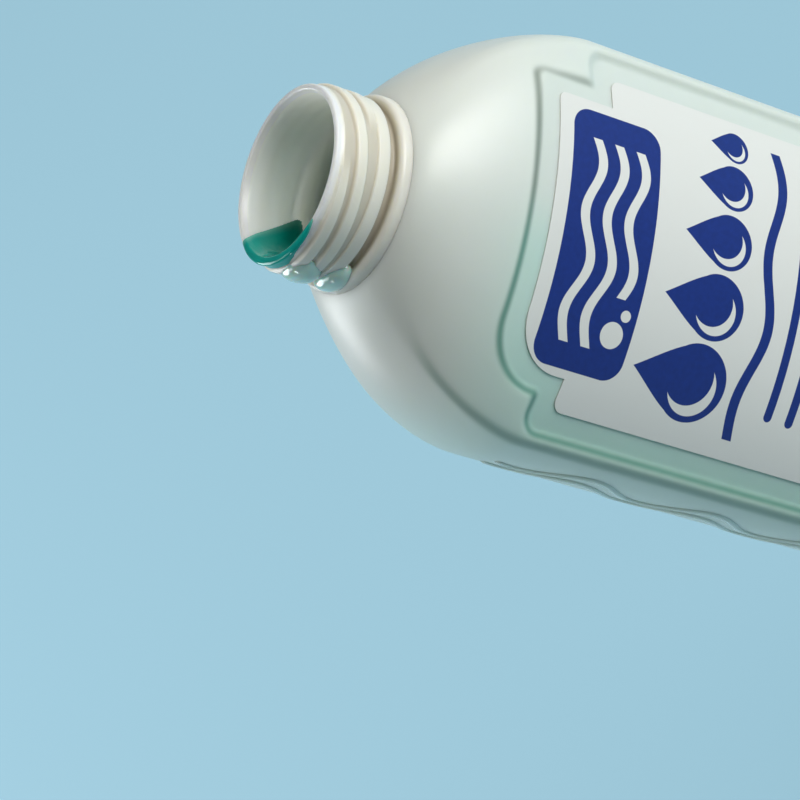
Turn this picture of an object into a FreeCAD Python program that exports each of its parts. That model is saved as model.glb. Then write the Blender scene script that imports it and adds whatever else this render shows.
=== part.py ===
import FreeCAD, Part

import math
import os

import Sketcher

# A one-litre detergent bottle, blow-moulded in one piece, with its contents and its front label.
# Millimetres. It stands on z = 0 with +Z up through the mouth, and the label faces -Y.

doc = FreeCAD.newDocument("DetergentBottle")
sheet = doc.addObject("Spreadsheet::Sheet", "Sizes")

# Driving sizes: alias, value, what it is
DRIVING_SIZES = [
    ("BottleHeight", 262.0, "base to the top of the lip"),
    ("BodyWidth", 95.3, "across the two narrow sides"),
    ("BodyDepth", 59.1, "across the two broad faces"),
    ("CreaseSpan", 90.8, "between the creases that end a broad face"),
    ("CreaseGap", 32.6, "between the creases that end a narrow side"),
    ("CreaseSoftness", 2.6, "reach of the crease's rounding to each side"),
    ("CreaseFade", 6.0, "the same reach where the crease fades out under the neck"),
    ("WallThickness", 1.1, "blown wall"),
    ("BaseRounding", 7.0, "radius round the foot"),
    ("PushUpInset", 11.0, "from the body's outline to the inner edge of the standing ring"),
    ("PushUpHeight", 2.5, "how far the base is pushed up inside the ring"),
    ("PushUpRun", 5.0, "sloping width of the pushed-up wall"),
    ("NeckDrop", 17.7, "lip to the top of the dome"),
    ("DomeRingRadius", 21.7, "the dome's top ring, under the neck bead"),
    ("SideShoulderDrop", 60.2, "lip to where the narrow sides start to curve in"),
    ("SideShoulderPower", 1.66, "fullness of the side curve near the body"),
    ("SideShoulderRoot", 1.22, "fullness of the side curve near the neck"),
    ("FrontShoulderDrop", 52.0, "lip to where the broad faces start to curve in"),
    ("FrontShoulderPower", 1.5, "fullness of the front curve near the body"),
    ("FrontShoulderRoot", 2.0, "fullness of the front curve near the neck"),
    ("CreaseFadeDrop", 48.2, "lip to where the creases start to turn towards a circle"),
    ("CreaseFadePower", 3.17, "how late the creases turn towards a circle"),
    ("MouthRadius", 17.8, "bore of the neck"),
    ("MouthLength", 20.0, "straight length of the bore, lip to the inside of the dome"),
    ("LipRadius", 20.0, "outside of the lip"),
    ("LipRounding", 0.75, "radius on both edges of the lip"),
    ("LipHeight", 1.7, "plain band under the lip's top"),
    ("ThreadRootRadius", 20.2, "neck wall between the thread ridges"),
    ("ThreadCrestRadius", 21.0, "top of the thread ridges"),
    ("ThreadSpacing", 3.9, "one ridge to the next along the neck"),
    ("ThreadStarts", 2, "separate ridges round the neck"),
    ("ThreadFrontDrop", 2.5, "lip to the first ridge's crest at the front"),
    ("ThreadTurns", 0.95, "turns of each ridge"),
    ("ThreadFootWidth", 3.5, "ridge width at its foot"),
    ("ThreadCrestWidth", 2.2, "ridge width at its crest"),
    ("ThreadTopDrop", 2.3, "lip to where each ridge starts"),
    ("ThreadFadeShare", 0.09, "share of a ridge over which each end fades"),
    ("LandRounding", 0.35, "radius on the plain band's edges"),
    ("LandDrop", 10.2, "lip to the top of the plain band under the thread"),
    ("LandRadius", 20.7, "plain band under the thread"),
    ("GrooveDrop", 13.1, "lip to the top of the groove over the bead"),
    ("GrooveRadius", 19.3, "bottom of that groove"),
    ("BeadDrop", 15.0, "lip to the top of the bead"),
    ("BeadRadius", 22.1, "outside of the bead at the neck's foot"),
    ("BeadRounding", 1.1, "radius on the bead's edge"),
    ("RecessDepth", 1.2, "label panel below the broad face"),
    ("RecessTabWidth", 70.6, "upper, narrower part of the panel"),
    ("RecessWidth", 86.6, "main part of the panel"),
    ("RecessTopDrop", 43.6, "lip to the panel's top edge"),
    ("RecessStepDrop", 57.8, "lip to where the panel widens"),
    ("RecessBottomHeight", 16.0, "base to the panel's bottom edge"),
    ("RecessSmallCorner", 3.0, "panel's top corner on the +X side"),
    ("RecessLargeCorner", 14.0, "panel's top corner on the -X side"),
    ("RecessStepCorner", 5.0, "panel's corners where it widens"),
    ("RecessFootCorner", 9.0, "panel's bottom corners"),
    ("LabelMargin", 6.0, "panel edge to label edge"),
    ("LabelTabMargin", 4.9, "the same beside the upper, narrower part"),
    ("LabelThickness", 0.2, "printed film"),
    ("LabelClearance", 0.1, "panel to the underside of the film"),
    ("LabelSmallCorner", 1.8, "label's top corner on the +X side"),
    ("LabelLargeCorner", 11.5, "label's top corner on the -X side"),
    ("LabelStepCorner", 2.6, "label's corners where it widens"),
    ("LabelFootCorner", 4.0, "label's bottom corners"),
    ("ReliefHeight", 0.5, "raised waves on the -X side"),
    ("ReliefTopDrop", 66.0, "lip to the top of the waves"),
    ("ReliefBottomHeight", 48.0, "base to the bottom of the waves"),
    ("ReliefWaveLength", 34.0, "one full wave"),
    ("ReliefSwing", 4.2, "how far a wave swings to each side"),
    ("ReliefRidgeWidth", 2.4, "width of one raised wave"),
    ("ReliefSpacing", 6.0, "one wave to the next"),
    ("ReliefCount", 2, "waves side by side"),
    ("FillDrop", 47.5, "lip to the surface of the detergent"),
    ("LiquidClearance", 0.3, "detergent to the inside of the wall"),
]

for row, (alias, value, meaning) in enumerate(DRIVING_SIZES, start=1):
    sheet.set(f"A{row}", meaning)
    sheet.set(f"B{row}", str(value))
    sheet.setAlias(f"B{row}", alias)
doc.recompute()


def size(alias):
    """A driving size's value, read from the sheet."""
    return float(sheet.get(alias))


# Form of the blown body: four arcs meeting at soft creases, drawn in to a ring under the neck

SHOULDER_SECTIONS = 12
CORNER_HANDLE = 0.65


def chord_arc(half_chord, rise):
    """Radius and half angle of an arc from its half chord and its rise."""
    radius = (half_chord**2 + rise**2) / (2 * rise)
    return radius, math.asin(min(1.0, half_chord / radius))


def section_wire(half_width, half_depth, crease_x, crease_y, softness, level):
    """One closed section of the body: two broad arcs, two narrow arcs and four soft creases."""
    broad_radius, broad_angle = chord_arc(crease_x, half_depth - crease_y)
    narrow_radius, narrow_angle = chord_arc(crease_y, half_width - crease_x)
    broad_angle -= softness / broad_radius
    narrow_angle -= softness / narrow_radius
    broad_end = FreeCAD.Vector(
        broad_radius * math.sin(broad_angle),
        -half_depth + broad_radius * (1 - math.cos(broad_angle)),
        level,
    )
    narrow_end = FreeCAD.Vector(
        half_width - narrow_radius * (1 - math.cos(narrow_angle)),
        -narrow_radius * math.sin(narrow_angle),
        level,
    )
    reach = softness * CORNER_HANDLE
    broad_pull = FreeCAD.Vector(math.cos(broad_angle), math.sin(broad_angle), 0) * reach
    narrow_pull = FreeCAD.Vector(math.sin(narrow_angle), math.cos(narrow_angle), 0) * reach

    def at(point, sign_x, sign_y):
        return FreeCAD.Vector(point.x * sign_x, point.y * sign_y, point.z)

    def crease(sign_x, sign_y):
        poles = [broad_end, broad_end + broad_pull, narrow_end - narrow_pull, narrow_end]
        curve = Part.BezierCurve()
        curve.setPoles([at(pole, sign_x, sign_y) for pole in poles])
        return curve.toShape()

    front = FreeCAD.Vector(0, -half_depth, level)
    right = FreeCAD.Vector(half_width, 0, level)
    edges = [
        Part.Arc(at(broad_end, -1, 1), front, broad_end).toShape(),
        crease(1, 1),
        Part.Arc(narrow_end, right, at(narrow_end, 1, -1)).toShape(),
        crease(1, -1),
        Part.Arc(at(broad_end, 1, -1), at(front, 1, -1), at(broad_end, -1, -1)).toShape(),
        crease(-1, -1),
        Part.Arc(at(narrow_end, -1, -1), at(right, -1, 1), at(narrow_end, -1, 1)).toShape(),
        crease(-1, 1),
    ]
    return Part.Wire(Part.__sortEdges__(edges))


def shoulder_share(level, start, top, power, root):
    """1 where the shoulder starts and 0 at the dome's top ring, on a rounded curve."""
    climb = min(1.0, max(0.0, (level - start) / (top - start)))
    return (1 - climb**power) ** (1 / root)


def form_section(level, inset):
    """The body's section at a level, drawn in by inset all round."""
    lip = size("BottleHeight")
    top = lip - size("NeckDrop") - inset
    ring = size("DomeRingRadius") - inset
    half_width = size("BodyWidth") / 2 - inset
    half_depth = size("BodyDepth") / 2 - inset
    side = shoulder_share(
        level,
        lip - size("SideShoulderDrop"),
        top,
        size("SideShoulderPower"),
        size("SideShoulderRoot"),
    )
    front = shoulder_share(
        level,
        lip - size("FrontShoulderDrop"),
        top,
        size("FrontShoulderPower"),
        size("FrontShoulderRoot"),
    )
    wide = ring + (half_width - ring) * side
    deep = ring + (half_depth - ring) * front
    fade_start = lip - size("CreaseFadeDrop")
    fade = min(1.0, max(0.0, (level - fade_start) / (top - fade_start))) ** size("CreaseFadePower")
    share_x = size("CreaseSpan") / size("BodyWidth") * (1 - fade) + math.sqrt(0.5) * fade
    share_y = size("CreaseGap") / size("BodyDepth") * (1 - fade) + math.sqrt(0.5) * fade
    softness = size("CreaseSoftness") * (1 - fade) + size("CreaseFade") * fade
    return section_wire(wide, deep, wide * share_x, deep * share_y, softness, level)


def blown_form(inset):
    """The closed form of the body from its foot to the dome's top ring, drawn in by inset."""
    floor = inset
    start = size("BottleHeight") - size("SideShoulderDrop")
    top = size("BottleHeight") - size("NeckDrop") - inset
    straight = Part.Face(form_section(floor, inset)).extrude(FreeCAD.Vector(0, 0, start - floor))
    foot_edges = [edge for edge in straight.Edges if edge.BoundBox.ZMax < floor + 1e-3]
    straight = straight.makeFillet(size("BaseRounding") - inset, foot_edges)
    wires = []
    for index in range(SHOULDER_SECTIONS + 1):
        climb = math.sin(math.pi / 2 * index / SHOULDER_SECTIONS)
        wires.append(form_section(start + (top - start) * climb, inset))
    shoulder = Part.makeLoft(wires, True, False)
    return straight.fuse(shoulder).Solids[0]


def push_up(inset):
    """The hollow that is pushed up into the base, grown by inset."""
    foot = size("PushUpInset") - inset
    crown = foot + size("PushUpRun")
    low = form_section(0, foot)
    high = form_section(0, crown)
    high.translate(FreeCAD.Vector(0, 0, size("PushUpHeight") + inset))
    return Part.makeLoft([low, high], True, True)


def add_shape(label, shape):
    feature = doc.addObject("Part::Feature", label)
    feature.Shape = shape
    feature.Placement = FreeCAD.Placement()
    feature.Label = label
    return feature


# Neck, turned from one half profile: lip, thread wall, plain band, groove and bead


def driven_sketch(body, label, plane_role):
    """A sketch on one of its body's origin planes."""
    sketch = body.newObject("Sketcher::SketchObject", label)
    plane = [item for item in body.Origin.OriginFeatures if item.Role == plane_role][0]
    sketch.AttachmentSupport = [(plane, "")]
    sketch.MapMode = "FlatFace"
    return sketch


def drive(sketch, constraint, name, expression):
    """Adds a constraint with a name and ties its value to the sheet."""
    index = sketch.addConstraint(constraint)
    sketch.renameConstraint(index, name)
    sketch.setExpression(f"Constraints.{name}", expression)


def half_profile(sketch, points):
    """A closed outline of straight lines; each point is (name, radius, height) as expressions."""
    places = []
    for name, radius, height in points:
        places.append(FreeCAD.Vector(evaluate(radius), evaluate(height), 0))
    count = len(points)
    for index in range(count):
        line = Part.LineSegment(places[index], places[(index + 1) % count])
        sketch.addGeometry(line, False)
    for index in range(count):
        before = (index - 1) % count
        sketch.addConstraint(Sketcher.Constraint("Coincident", before, 2, index, 1))
    for index, (name, radius, height) in enumerate(points):
        across = Sketcher.Constraint("DistanceX", -1, 1, index, 1, places[index].x)
        up = Sketcher.Constraint("DistanceY", -1, 1, index, 1, places[index].y)
        drive(sketch, across, name + "Radius", radius)
        drive(sketch, up, name + "Height", height)


def evaluate(expression):
    """The value of a sheet expression, worked out by the sheet itself."""
    return float(sheet.evalExpression(expression.replace("Sizes.", "")))


def round_edges(body, base, label, radius, rings):
    """Fillets the circular edges of base that have the given radii and heights."""
    names = []
    for ring_radius, ring_height in rings:
        for index, edge in enumerate(base.Shape.Edges, start=1):
            curve = edge.Curve
            if not isinstance(curve, Part.Circle):
                continue
            same_radius = abs(curve.Radius - evaluate(ring_radius)) < 1e-6
            same_height = abs(curve.Center.z - evaluate(ring_height)) < 1e-6
            if same_radius and same_height:
                names.append(f"Edge{index}")
    fillet = body.newObject("PartDesign::Fillet", label)
    fillet.Base = (base, names)
    fillet.setExpression("Radius", radius)
    doc.recompute()
    return fillet


NECK_ROOT = "Sizes.BottleHeight - Sizes.NeckDrop - Sizes.WallThickness"
BEAD_TOP = "Sizes.BottleHeight - Sizes.BeadDrop"
GROOVE_TOP = "Sizes.BottleHeight - Sizes.GrooveDrop"
LAND_TOP = "Sizes.BottleHeight - Sizes.LandDrop"
LIP_FOOT = "Sizes.BottleHeight - Sizes.LipHeight"
LIP_TOP = "Sizes.BottleHeight"


def make_neck():
    body = doc.addObject("PartDesign::Body", "NeckFinish")
    sketch = driven_sketch(body, "NeckProfile", "XZ_Plane")
    outline = [
        ("RootAxis", "0", NECK_ROOT),
        ("BeadLow", "Sizes.BeadRadius", NECK_ROOT),
        ("BeadHigh", "Sizes.BeadRadius", BEAD_TOP),
        ("GrooveLow", "Sizes.GrooveRadius", BEAD_TOP),
        ("GrooveHigh", "Sizes.GrooveRadius", GROOVE_TOP),
        ("LandLow", "Sizes.LandRadius", GROOVE_TOP),
        ("LandHigh", "Sizes.LandRadius", LAND_TOP),
        ("ThreadLow", "Sizes.ThreadRootRadius", LAND_TOP),
        ("ThreadHigh", "Sizes.ThreadRootRadius", LIP_FOOT),
        ("LipLow", "Sizes.LipRadius", LIP_FOOT),
        ("LipHigh", "Sizes.LipRadius", LIP_TOP),
        ("LipAxis", "0", LIP_TOP),
    ]
    half_profile(sketch, outline)
    doc.recompute()
    turned = body.newObject("PartDesign::Revolution", "NeckTurned")
    turned.Profile = sketch
    turned.ReferenceAxis = (sketch, ["V_Axis"])
    turned.Angle = 360
    doc.recompute()
    beads = [("Sizes.BeadRadius", BEAD_TOP)]
    rounded = round_edges(body, turned, "BeadRounded", "Sizes.BeadRounding", beads)
    lands = [("Sizes.LandRadius", GROOVE_TOP), ("Sizes.LandRadius", LAND_TOP)]
    rounded = round_edges(body, rounded, "LandRounded", "Sizes.LandRounding", lands)
    lips = [("Sizes.LipRadius", LIP_TOP)]
    round_edges(body, rounded, "LipRounded", "Sizes.LipRounding", lips)
    return body


# Thread: separate ridges that climb the neck and fade out at both ends

RIDGE_SECTIONS = 48


def thread_ridge(start_angle, start_level):
    lead = size("ThreadSpacing") * size("ThreadStarts")
    root = size("ThreadRootRadius")
    foot = size("ThreadFootWidth") / 2
    flat = size("ThreadCrestWidth") / 2
    sink = (root - size("MouthRadius")) / 2
    wires = []
    for index in range(RIDGE_SECTIONS + 1):
        share = index / RIDGE_SECTIONS
        turned = 2 * math.pi * size("ThreadTurns") * share
        angle = start_angle - turned
        level = start_level - lead * size("ThreadTurns") * share
        ends = min(1.0, min(share, 1 - share) / size("ThreadFadeShare"))
        rise = (size("ThreadCrestRadius") - root) * math.sin(math.pi / 2 * ends)
        outline = [
            (root - sink, level - foot),
            (root + rise, level - flat),
            (root + rise, level + flat),
            (root - sink, level + foot),
        ]
        corners = []
        for radius, height in outline:
            corners.append(
                FreeCAD.Vector(radius * math.cos(angle), radius * math.sin(angle), height)
            )
        wires.append(Part.makePolygon(corners + corners[:1]))
    return Part.makeLoft(wires, True, False)


def make_thread():
    """The ridges, spaced evenly round the neck, the first with its crest set at the front."""
    starts = int(size("ThreadStarts"))
    lead = size("ThreadSpacing") * starts
    top_drop = size("ThreadTopDrop")
    front = -math.pi / 2
    first = front + 2 * math.pi * (size("ThreadFrontDrop") - top_drop) / lead
    ridges = []
    for index in range(starts):
        angle = first + 2 * math.pi * index / starts
        ridges.append(thread_ridge(angle, size("BottleHeight") - top_drop))
    return add_shape("ThreadRidges", Part.makeCompound(ridges))


# Label panel: a stepped outline let into the broad faces


def stepped_outline(label, sides, corners):
    """A closed outline of level and upright lines with rounded corners, standing in the XZ plane.

    sides holds (name, "level" or "upright", expression), clockwise from the top edge, and
    corners the radius expression of the corner after each side, or None where it stays sharp.
    """
    sketch = doc.addObject("Sketcher::SketchObject", label)
    upright = FreeCAD.Rotation(FreeCAD.Vector(1, 0, 0), 90)
    sketch.Placement = FreeCAD.Placement(FreeCAD.Vector(0, 0, 0), upright)
    values = [evaluate(expression) for name, direction, expression in sides]
    count = len(sides)
    points = []
    for index in range(count):
        after = (index + 1) % count
        if sides[index][1] == "level":
            points.append(FreeCAD.Vector(values[after], values[index], 0))
        else:
            points.append(FreeCAD.Vector(values[index], values[after], 0))
    radii = [evaluate(corner) if corner else 0.0 for corner in corners]
    ways = []
    for index in range(count):
        way = points[index] - points[index - 1]
        ways.append(way.normalize())
    lines = []
    for index in range(count):
        start = points[index - 1] + ways[index] * radii[index - 1]
        end = points[index] - ways[index] * radii[index]
        lines.append(sketch.addGeometry(Part.LineSegment(start, end), False))
    for index, (name, direction, expression) in enumerate(sides):
        if direction == "level":
            sketch.addConstraint(Sketcher.Constraint("Horizontal", lines[index]))
            place = Sketcher.Constraint("DistanceY", -1, 1, lines[index], 1, values[index])
        else:
            sketch.addConstraint(Sketcher.Constraint("Vertical", lines[index]))
            place = Sketcher.Constraint("DistanceX", -1, 1, lines[index], 1, values[index])
        drive(sketch, place, name, expression)
    for index in range(count):
        after = (index + 1) % count
        if not corners[index]:
            sketch.addConstraint(
                Sketcher.Constraint("Coincident", lines[index], 2, lines[after], 1)
            )
            continue
        way_in = ways[index]
        way_out = ways[after]
        radius = radii[index]
        centre = points[index] - way_in * radius + way_out * radius
        circle = Part.Circle(centre, FreeCAD.Vector(0, 0, 1), radius)
        from_line = math.atan2(-way_out.y, -way_out.x)
        to_line = math.atan2(way_in.y, way_in.x)
        left_turn = way_in.x * way_out.y - way_in.y * way_out.x > 0
        if left_turn:
            arc = sketch.addGeometry(Part.ArcOfCircle(circle, from_line, to_line), False)
            near, far = 1, 2
        else:
            arc = sketch.addGeometry(Part.ArcOfCircle(circle, to_line, from_line), False)
            near, far = 2, 1
        sketch.addConstraint(Sketcher.Constraint("Tangent", lines[index], 2, arc, near))
        sketch.addConstraint(Sketcher.Constraint("Tangent", arc, far, lines[after], 1))
        round_name = sides[index][0] + "Corner"
        drive(sketch, Sketcher.Constraint("Radius", arc, radius), round_name, corners[index])
    return sketch


def panel_outline(label, grow):
    """The label panel's outline, grown by an expression."""
    lip = "Sizes.BottleHeight"
    sides = [
        ("Top", "level", f"{lip} - Sizes.RecessTopDrop + {grow}"),
        ("RightTab", "upright", f"Sizes.RecessTabWidth / 2 + {grow}"),
        ("RightStep", "level", f"{lip} - Sizes.RecessStepDrop + {grow}"),
        ("RightSide", "upright", f"Sizes.RecessWidth / 2 + {grow}"),
        ("Foot", "level", f"Sizes.RecessBottomHeight - {grow}"),
        ("LeftSide", "upright", f"-Sizes.RecessWidth / 2 - {grow}"),
        ("LeftStep", "level", f"{lip} - Sizes.RecessStepDrop + {grow}"),
        ("LeftTab", "upright", f"-Sizes.RecessTabWidth / 2 - {grow}"),
    ]
    corners = [
        f"Sizes.RecessSmallCorner + {grow}",
        None,
        f"Sizes.RecessStepCorner + {grow}",
        f"Sizes.RecessFootCorner + {grow}",
        f"Sizes.RecessFootCorner + {grow}",
        f"Sizes.RecessStepCorner + {grow}",
        None,
        f"Sizes.RecessLargeCorner + {grow}",
    ]
    return stepped_outline(label, sides, corners)


def label_outline(label):
    """The label's outline: the panel's, drawn in by the label's margin."""
    lip = "Sizes.BottleHeight"
    sides = [
        ("Top", "level", f"{lip} - Sizes.RecessTopDrop - Sizes.LabelMargin"),
        ("RightTab", "upright", "Sizes.RecessTabWidth / 2 - Sizes.LabelTabMargin"),
        ("RightStep", "level", f"{lip} - Sizes.RecessStepDrop - Sizes.LabelMargin"),
        ("RightSide", "upright", "Sizes.RecessWidth / 2 - Sizes.LabelMargin"),
        ("Foot", "level", "Sizes.RecessBottomHeight + Sizes.LabelMargin"),
        ("LeftSide", "upright", "-Sizes.RecessWidth / 2 + Sizes.LabelMargin"),
        ("LeftStep", "level", f"{lip} - Sizes.RecessStepDrop - Sizes.LabelMargin"),
        ("LeftTab", "upright", "-Sizes.RecessTabWidth / 2 + Sizes.LabelTabMargin"),
    ]
    corners = [
        "Sizes.LabelSmallCorner",
        None,
        "Sizes.LabelStepCorner",
        "Sizes.LabelFootCorner",
        "Sizes.LabelFootCorner",
        "Sizes.LabelStepCorner",
        None,
        "Sizes.LabelLargeCorner",
    ]
    return stepped_outline(label, sides, corners)


# The broad face's arc runs through both creases and the middle of the face
FACE_RISE = "((Sizes.BodyDepth - Sizes.CreaseGap) / 2)"
FACE_RADIUS = f"(((Sizes.CreaseSpan / 2)^2 + {FACE_RISE}^2) / (2 * {FACE_RISE}))"


def face_core(label, inset):
    """A long cylinder whose skin lies under the front face by an expression."""
    core = doc.addObject("Part::Cylinder", label)
    core.setExpression("Radius", f"{FACE_RADIUS} - ({inset})")
    core.setExpression("Height", "Sizes.BottleHeight")
    core.setExpression("Placement.Base.y", f"{FACE_RADIUS} - Sizes.BodyDepth / 2")
    return core


def front_block(label, sketch):
    """The outline run through the front half of the body."""
    block = doc.addObject("Part::Extrusion", label)
    block.Base = sketch
    block.DirMode = "Custom"
    block.Dir = FreeCAD.Vector(0, -1, 0)
    block.Solid = True
    block.setExpression("LengthFwd", "Sizes.BodyDepth")
    return block


def cut(label, base, tool):
    result = doc.addObject("Part::Cut", label)
    result.Base = base
    result.Tool = tool
    return result


def fuse(label, members):
    result = doc.addObject("Part::MultiFuse", label)
    result.Shapes = members
    return result


def common(label, base, tool):
    result = doc.addObject("Part::Common", label)
    result.Base = base
    result.Tool = tool
    return result


def mirrored(label, source):
    """The same thing on the back face."""
    result = doc.addObject("Part::Mirroring", label)
    result.Source = source
    result.Normal = FreeCAD.Vector(0, 1, 0)
    return result


def panel_cutters(label, grow, inset):
    """What is taken away in front of and behind the two label panels."""
    outline = panel_outline(label + "Outline", grow)
    block = front_block(label + "Block", outline)
    core = face_core(label + "Core", inset)
    front = cut(label + "Front", block, core)
    return front, mirrored(label + "Back", front)


# Raised waves on the narrow side at -X

WAVE_STEPS = 12


def wave_ribbon(middle):
    """One ribbon along Z with rounded ends, as a block through the -X side."""
    top = size("BottleHeight") - size("ReliefTopDrop")
    bottom = size("ReliefBottomHeight")
    half = size("ReliefRidgeWidth") / 2
    swing = size("ReliefSwing")
    turns = (top - bottom) / size("ReliefWaveLength")
    steps = max(2, round(turns * WAVE_STEPS))
    far = -size("BodyWidth")

    def edge_curve(offset):
        points = []
        for index in range(steps + 1):
            share = index / steps
            across = middle + offset + swing * math.sin(2 * math.pi * turns * share)
            points.append(FreeCAD.Vector(far, across, bottom + (top - bottom) * share))
        curve = Part.BSplineCurve()
        curve.interpolate(points)
        return curve.toShape(), points[0], points[-1]

    def end_arc(start, end, bulge):
        centre = (start + end) * 0.5
        return Part.Arc(start, centre + FreeCAD.Vector(0, 0, bulge), end).toShape()

    near_edge, near_low, near_high = edge_curve(-half)
    far_edge, far_low, far_high = edge_curve(half)
    outline = [near_edge, end_arc(near_high, far_high, half), far_edge]
    outline.append(end_arc(far_low, near_low, -half))
    face = Part.Face(Part.Wire(Part.__sortEdges__(outline)))
    depth = size("BodyWidth") / 2 + size("CreaseSpan") / 2 - size("CreaseGap") / 2
    return face.extrude(FreeCAD.Vector(depth, 0, 0))


def make_relief():
    count = int(size("ReliefCount"))
    ribbons = []
    for index in range(count):
        middle = size("ReliefSpacing") * (index - (count - 1) / 2)
        ribbons.append(wave_ribbon(middle))
    grown = blown_form(-size("ReliefHeight"))
    waves = [grown.common(ribbon) for ribbon in ribbons]
    return add_shape("SideWaves", Part.makeCompound(waves))


# Bottle: the blown body and its neck, hollow


def make_bottle():
    wall = size("WallThickness")
    body = add_shape("BlownBody", blown_form(0))
    neck = make_neck()
    thread = make_thread()
    waves = make_relief()
    front, back = panel_cutters("Panel", "0", "Sizes.RecessDepth")
    foot = add_shape("PushUp", push_up(0))
    panelled = cut("BodyWithPanels", body, fuse("PanelAndFootCuts", [front, back, foot]))
    outside = fuse("OuterShape", [panelled, neck, thread, waves])
    room = add_shape("BodyRoom", blown_form(wall))
    kept = "Sizes.RecessDepth + Sizes.WallThickness"
    inner_front, inner_back = panel_cutters("InnerPanel", "Sizes.WallThickness", kept)
    inner_foot = add_shape("InnerPushUp", push_up(wall))
    lined = fuse("RoomCuts", [inner_front, inner_back, inner_foot])
    hollow = cut("BodyHollow", room, lined)
    bore = doc.addObject("Part::Cylinder", "MouthBore")
    bore.setExpression("Radius", "Sizes.MouthRadius")
    bore.setExpression("Height", "Sizes.MouthLength")
    bore.setExpression("Placement.Base.z", "Sizes.BottleHeight - Sizes.MouthLength")
    inside = fuse("Hollow", [hollow, bore])
    shell = cut("Shell", outside, inside)
    doc.recompute()
    bottle = doc.addObject("Part::Fillet", "bottle")
    bottle.Base = shell
    inner_lip = []
    for index, edge in enumerate(shell.Shape.Edges, start=1):
        at_top = abs(edge.BoundBox.ZMin - size("BottleHeight")) < 1e-3
        across = edge.BoundBox.XMax - size("MouthRadius")
        if at_top and abs(across) < 1e-3:
            inner_lip.append((index, size("LipRounding"), size("LipRounding")))
    bottle.Edges = inner_lip
    bottle.Label = "bottle"
    return bottle


def make_detergent():
    """What the bottle holds, level on top and just clear of the wall."""
    inset = size("WallThickness") + size("LiquidClearance")
    room = add_shape("LiquidRoom", blown_form(inset))
    grow = "(Sizes.WallThickness + Sizes.LiquidClearance)"
    kept = "Sizes.RecessDepth + Sizes.WallThickness + Sizes.LiquidClearance"
    front, back = panel_cutters("LiquidPanel", grow, kept)
    foot = add_shape("LiquidPushUp", push_up(inset))
    held = cut("LiquidHeld", room, fuse("LiquidCuts", [front, back, foot]))
    level = doc.addObject("Part::Box", "LiquidLevel")
    level.setExpression("Length", "Sizes.BodyWidth")
    level.setExpression("Width", "Sizes.BodyDepth")
    level.setExpression("Height", "Sizes.BottleHeight - Sizes.FillDrop")
    level.setExpression("Placement.Base.x", "-Sizes.BodyWidth / 2")
    level.setExpression("Placement.Base.y", "-Sizes.BodyDepth / 2")
    detergent = common("detergent", held, level)
    detergent.Label = "detergent"
    return detergent


def make_label():
    """Thin printed film on the front panel."""
    outline = label_outline("LabelOutline")
    block = front_block("LabelBlock", outline)
    seat = "Sizes.RecessDepth - Sizes.LabelClearance"
    under = face_core("LabelUnderside", seat)
    over = face_core("LabelTopside", f"{seat} - Sizes.LabelThickness")
    skin = cut("LabelSkin", over, under)
    label = common("front_label", skin, block)
    label.Label = "front_label"
    return label


NODES = [make_bottle(), make_detergent(), make_label()]
doc.recompute()

for item in doc.Objects:
    if {"Invalid", "Error"} & set(item.State):
        raise RuntimeError(f"{item.Label} failed: {item.State}")

os.makedirs("parts", exist_ok=True)
for node in NODES:
    shape = node.Shape
    if shape.isNull() or not shape.isValid():
        raise RuntimeError(f"{node.Label} has no valid shape")
    solids = shape.Solids
    print(node.Label, len(solids), "solid(s)", round(shape.Volume / 1000, 2), "ml")
    shape.exportStep(f"parts/{node.Label}.step")
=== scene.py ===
import math

import bpy
import numpy as np
from mathutils import Matrix, Vector


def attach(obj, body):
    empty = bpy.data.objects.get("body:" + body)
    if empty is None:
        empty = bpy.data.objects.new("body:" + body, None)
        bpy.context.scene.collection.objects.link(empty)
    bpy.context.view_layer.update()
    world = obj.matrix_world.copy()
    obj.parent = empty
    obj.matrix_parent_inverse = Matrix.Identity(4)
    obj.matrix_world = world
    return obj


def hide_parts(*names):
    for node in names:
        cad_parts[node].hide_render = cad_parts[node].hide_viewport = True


# A one-litre detergent bottle without its cap: looks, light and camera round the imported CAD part.
# The form below is worked out in millimetres, as in the part's source, and MM turns it to metres.

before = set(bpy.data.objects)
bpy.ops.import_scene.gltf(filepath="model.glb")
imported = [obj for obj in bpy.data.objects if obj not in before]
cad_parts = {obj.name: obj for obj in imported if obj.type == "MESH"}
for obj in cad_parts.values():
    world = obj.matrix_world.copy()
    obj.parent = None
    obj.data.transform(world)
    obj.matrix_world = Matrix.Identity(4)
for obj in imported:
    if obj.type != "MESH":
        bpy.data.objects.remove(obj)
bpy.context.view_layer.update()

MM = 0.001

# Form of the blown body, as in the part's source
HEIGHT = 262.0
BODY_WIDTH = 95.3
BODY_DEPTH = 59.1
CREASE_SPAN = 90.8
CREASE_GAP = 32.6
CREASE_SOFTNESS = 2.6
CREASE_FADE = 6.0
CREASE_HANDLE = 0.65
WALL = 1.1
BASE_ROUNDING = 7.0
PUSH_UP_INSET = 11.0
PUSH_UP_HEIGHT = 2.5
PUSH_UP_RUN = 5.0
NECK_DROP = 17.7
RING_RADIUS = 21.7
SIDE_DROP = 60.2
SIDE_POWER = 1.66
SIDE_ROOT = 1.22
FRONT_DROP = 52.0
FRONT_POWER = 1.5
FRONT_ROOT = 2.0
FADE_DROP = 48.2
FADE_POWER = 3.17

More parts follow.
